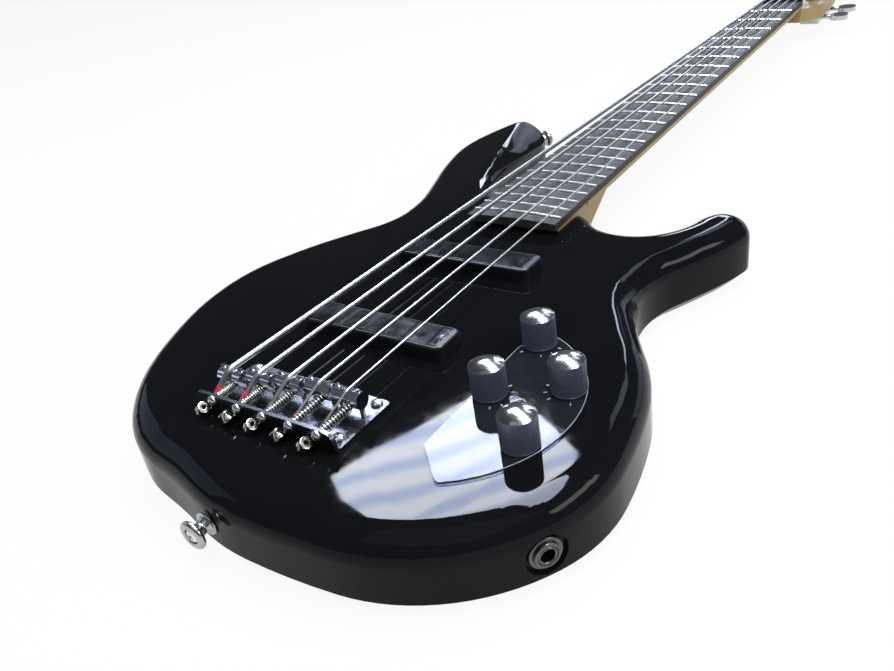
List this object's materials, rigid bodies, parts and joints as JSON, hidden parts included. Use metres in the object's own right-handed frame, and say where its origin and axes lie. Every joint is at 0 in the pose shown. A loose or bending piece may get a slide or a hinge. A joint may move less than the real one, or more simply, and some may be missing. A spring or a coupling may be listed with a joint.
{
  "type": "electric bass guitar",
  "caption": "Solid-body electric bass guitar with a long carved upper horn, bolt-on neck, soapbar pickups, barrel-saddle bridge, domed control knobs on a clear overlay and machine-head tuners.",
  "frame": {"origin": "On the flat back, on the centreline, under the saddle end of the scale", "axes": "+Y from the saddles to the headstock, +X to the treble side, +Z out of the front"},
  "size_m": [0.31, 1.1294, 0.063],
  "materials": {
    "body_gloss": "black gloss lacquer",
    "maple": "satin maple",
    "rosewood": "oiled dark wood",
    "fret_nickel": "polished nickel",
    "nut_black": "satin",
    "rod_steel": "plain steel",
    "black_plastic": "gloss",
    "cover_plastic": "fine matt",
    "pickup_plastic": "satin under clear film",
    "foam": "open foam",
    "bridge_chrome": "dark chrome",
    "saddle_chrome": "dark chrome",
    "screw_steel": "plated",
    "spring_steel": "bright wire",
    "string_nickel": "round wound",
    "clear_sheet": "clear film",
    "knob_metal": "satin dark chrome",
    "pot_metal": "plated",
    "card": "laminate",
    "jack_nickel": "dull nickel",
    "battery_case": "plain case",
    "button_chrome": "chrome",
    "tuner_chrome": "dark chrome"
  },
  "bodies": {
    "instrument": {"body": "body_gloss", "neck": "maple", "fretboard": "rosewood", "frets": "fret_nickel", "nut": "nut_black", "truss_rod": "rod_steel", "truss_rod_cover": "black_plastic", "control_cover": "cover_plastic", "neck_pickup_foam": "foam", "bridge_pickup_foam": "foam", "bridge_plate": "bridge_chrome", "bridge_screws": "screw_steel", "headstock_screws": "screw_steel", "cover_screws": "screw_steel", "neck_bolts": "screw_steel", "strap_button_screws": "screw_steel", "saddle_springs": "spring_steel", "string_b": "string_nickel", "string_e": "string_nickel", "string_a": "string_nickel", "string_d": "string_nickel", "string_g": "string_nickel", "control_overlay": "clear_sheet", "potentiometers": "pot_metal", "panel_nuts": "pot_metal", "preamp_card": "card", "output_jack": "jack_nickel", "battery": "battery_case", "strap_buttons": "button_chrome", "neck_ferrules": "button_chrome", "tuner_housings": "tuner_chrome", "tuner_bushings": "tuner_chrome"},
    "neck_pickup": {"neck_pickup": "pickup_plastic"},
    "bridge_pickup": {"bridge_pickup": "pickup_plastic"},
    "battery_lid": {"battery_lid": "cover_plastic"},
    "volume_knob": {"volume_knob": "knob_metal"},
    "blend_knob": {"blend_knob": "knob_metal"},
    "treble_knob": {"treble_knob": "knob_metal"},
    "bass_knob": {"bass_knob": "knob_metal"},
    "saddle_b": {"saddle_b": "saddle_chrome"},
    "intonation_screw_b": {"intonation_screw_b": "screw_steel"},
    "tuner_post_b": {"tuner_post_b": "tuner_chrome"},
    "tuner_key_b": {"tuner_key_b": "tuner_chrome"},
    "saddle_e": {"saddle_e": "saddle_chrome"},
    "intonation_screw_e": {"intonation_screw_e": "screw_steel"},
    "tuner_post_e": {"tuner_post_e": "tuner_chrome"},
    "tuner_key_e": {"tuner_key_e": "tuner_chrome"},
    "saddle_a": {"saddle_a": "saddle_chrome"},
    "intonation_screw_a": {"intonation_screw_a": "screw_steel"},
    "tuner_post_a": {"tuner_post_a": "tuner_chrome"},
    "tuner_key_a": {"tuner_key_a": "tuner_chrome"},
    "saddle_d": {"saddle_d": "saddle_chrome"},
    "intonation_screw_d": {"intonation_screw_d": "screw_steel"},
    "tuner_post_d": {"tuner_post_d": "tuner_chrome"},
    "tuner_key_d": {"tuner_key_d": "tuner_chrome"},
    "saddle_g": {"saddle_g": "saddle_chrome"},
    "intonation_screw_g": {"intonation_screw_g": "screw_steel"},
    "tuner_post_g": {"tuner_post_g": "tuner_chrome"},
    "tuner_key_g": {"tuner_key_g": "tuner_chrome"}
  },
  "joints": [
    {"name": "neck_pickup_height", "type": "slide", "parent": "instrument", "child": "neck_pickup", "axis": [0, 0, 1], "range_m": [-0.002, 0.002], "deforming": ["neck_pickup_foam"]},
    {"name": "bridge_pickup_height", "type": "slide", "parent": "instrument", "child": "bridge_pickup", "axis": [0, 0, 1], "range_m": [-0.002, 0.002], "deforming": ["bridge_pickup_foam"]},
    {"name": "intonation_screw_b_turn", "type": "hinge", "parent": "instrument", "child": "intonation_screw_b", "pos_m": [-0.0318, -0.0285, 0.051], "axis": [0, 1, 0], "range_deg": [-2880, 2880]},
    {"name": "saddle_b_slide", "type": "slide", "parent": "instrument", "child": "saddle_b", "axis": [0, 1, 0], "range_m": [-0.004, 0.004], "deforming": ["saddle_springs", "string_b"]},
    {"name": "intonation_screw_e_turn", "type": "hinge", "parent": "instrument", "child": "intonation_screw_e", "pos_m": [-0.0145, -0.0285, 0.051], "axis": [0, 1, 0], "range_deg": [-2880, 2880]},
    {"name": "saddle_e_slide", "type": "slide", "parent": "instrument", "child": "saddle_e", "axis": [0, 1, 0], "range_m": [-0.004, 0.004], "deforming": ["saddle_springs", "string_e"]},
    {"name": "intonation_screw_a_turn", "type": "hinge", "parent": "instrument", "child": "intonation_screw_a", "pos_m": [0.0028, -0.0285, 0.051], "axis": [0, 1, 0], "range_deg": [-2880, 2880]},
    {"name": "saddle_a_slide", "type": "slide", "parent": "instrument", "child": "saddle_a", "axis": [0, 1, 0], "range_m": [-0.004, 0.004], "deforming": ["saddle_springs", "string_a"]},
    {"name": "intonation_screw_d_turn", "type": "hinge", "parent": "instrument", "child": "intonation_screw_d", "pos_m": [0.0201, -0.0285, 0.051], "axis": [0, 1, 0], "range_deg": [-2880, 2880]},
    {"name": "saddle_d_slide", "type": "slide", "parent": "instrument", "child": "saddle_d", "axis": [0, 1, 0], "range_m": [-0.004, 0.004], "deforming": ["saddle_springs", "string_d"]},
    {"name": "intonation_screw_g_turn", "type": "hinge", "parent": "instrument", "child": "intonation_screw_g", "pos_m": [0.0374, -0.0285, 0.051], "axis": [0, 1, 0], "range_deg": [-2880, 2880]},
    {"name": "saddle_g_slide", "type": "slide", "parent": "instrument", "child": "saddle_g", "axis": [0, 1, 0], "range_m": [-0.004, 0.004], "deforming": ["saddle_springs", "string_g"]},
    {"name": "volume_knob_turn", "type": "hinge", "parent": "instrument", "child": "volume_knob", "pos_m": [0.11859, 0.00971, 0.042], "axis": [0, 0, 1], "range_deg": [-150, 150]},
    {"name": "blend_knob_turn", "type": "hinge", "parent": "instrument", "child": "blend_knob", "pos_m": [0.08679, 0.03711, 0.042], "axis": [0, 0, 1], "range_deg": [-150, 150]},
    {"name": "treble_knob_turn", "type": "hinge", "parent": "instrument", "child": "treble_knob", "pos_m": [0.11959, 0.05371, 0.042], "axis": [0, 0, 1], "range_deg": [-150, 150]},
    {"name": "bass_knob_turn", "type": "hinge", "parent": "instrument", "child": "bass_knob", "pos_m": [0.08799, 0.08431, 0.042], "axis": [0, 0, 1], "range_deg": [-150, 150]},
    {"name": "battery_lid_hinge", "type": "hinge", "parent": "instrument", "child": "battery_lid", "pos_m": [-0.07803, -0.02676, 0.0014], "axis": [-1, 0, 0], "range_deg": [0, 95]},
    {"name": "tuner_key_b_turn", "type": "hinge", "parent": "instrument", "child": "tuner_key_b", "pos_m": [-0.035, 0.902, 0.0205], "axis": [-1, 0, 0], "continuous": true},
    {"name": "tuner_post_b_turn", "type": "hinge", "parent": "instrument", "child": "tuner_post_b", "pos_m": [-0.0245, 0.902, 0.041], "axis": [0, 0, 1], "continuous": true},
    {"name": "tuner_key_e_turn", "type": "hinge", "parent": "instrument", "child": "tuner_key_e", "pos_m": [-0.035, 0.946, 0.0205], "axis": [-1, 0, 0], "continuous": true},
    {"name": "tuner_post_e_turn", "type": "hinge", "parent": "instrument", "child": "tuner_post_e", "pos_m": [-0.0245, 0.946, 0.041], "axis": [0, 0, 1], "continuous": true},
    {"name": "tuner_key_a_turn", "type": "hinge", "parent": "instrument", "child": "tuner_key_a", "pos_m": [-0.035, 0.99, 0.0205], "axis": [-1, 0, 0], "continuous": true},
    {"name": "tuner_post_a_turn", "type": "hinge", "parent": "instrument", "child": "tuner_post_a", "pos_m": [-0.0245, 0.99, 0.041], "axis": [0, 0, 1], "continuous": true},
    {"name": "tuner_key_d_turn", "type": "hinge", "parent": "instrument", "child": "tuner_key_d", "pos_m": [0.0335, 0.963, 0.0205], "axis": [1, 0, 0], "continuous": true},
    {"name": "tuner_post_d_turn", "type": "hinge", "parent": "instrument", "child": "tuner_post_d", "pos_m": [0.023, 0.963, 0.041], "axis": [0, 0, 1], "continuous": true},
    {"name": "tuner_key_g_turn", "type": "hinge", "parent": "instrument", "child": "tuner_key_g", "pos_m": [0.0335, 0.919, 0.0205], "axis": [1, 0, 0], "continuous": true},
    {"name": "tuner_post_g_turn", "type": "hinge", "parent": "instrument", "child": "tuner_post_g", "pos_m": [0.023, 0.919, 0.041], "axis": [0, 0, 1], "continuous": true}
  ],
  "couplings": [
    {"joint": "intonation_screw_b_turn", "follows": "saddle_b_slide", "rad_per_m": -12566},
    {"joint": "intonation_screw_e_turn", "follows": "saddle_e_slide", "rad_per_m": -12566},
    {"joint": "intonation_screw_a_turn", "follows": "saddle_a_slide", "rad_per_m": -12566},
    {"joint": "intonation_screw_d_turn", "follows": "saddle_d_slide", "rad_per_m": -12566},
    {"joint": "intonation_screw_g_turn", "follows": "saddle_g_slide", "rad_per_m": -12566},
    {"joint": "tuner_post_b_turn", "follows": "tuner_key_b_turn", "ratio": 0.05},
    {"joint": "tuner_post_e_turn", "follows": "tuner_key_e_turn", "ratio": 0.05},
    {"joint": "tuner_post_a_turn", "follows": "tuner_key_a_turn", "ratio": 0.05},
    {"joint": "tuner_post_d_turn", "follows": "tuner_key_d_turn", "ratio": -0.05},
    {"joint": "tuner_post_g_turn", "follows": "tuner_key_g_turn", "ratio": -0.05}
  ]
}
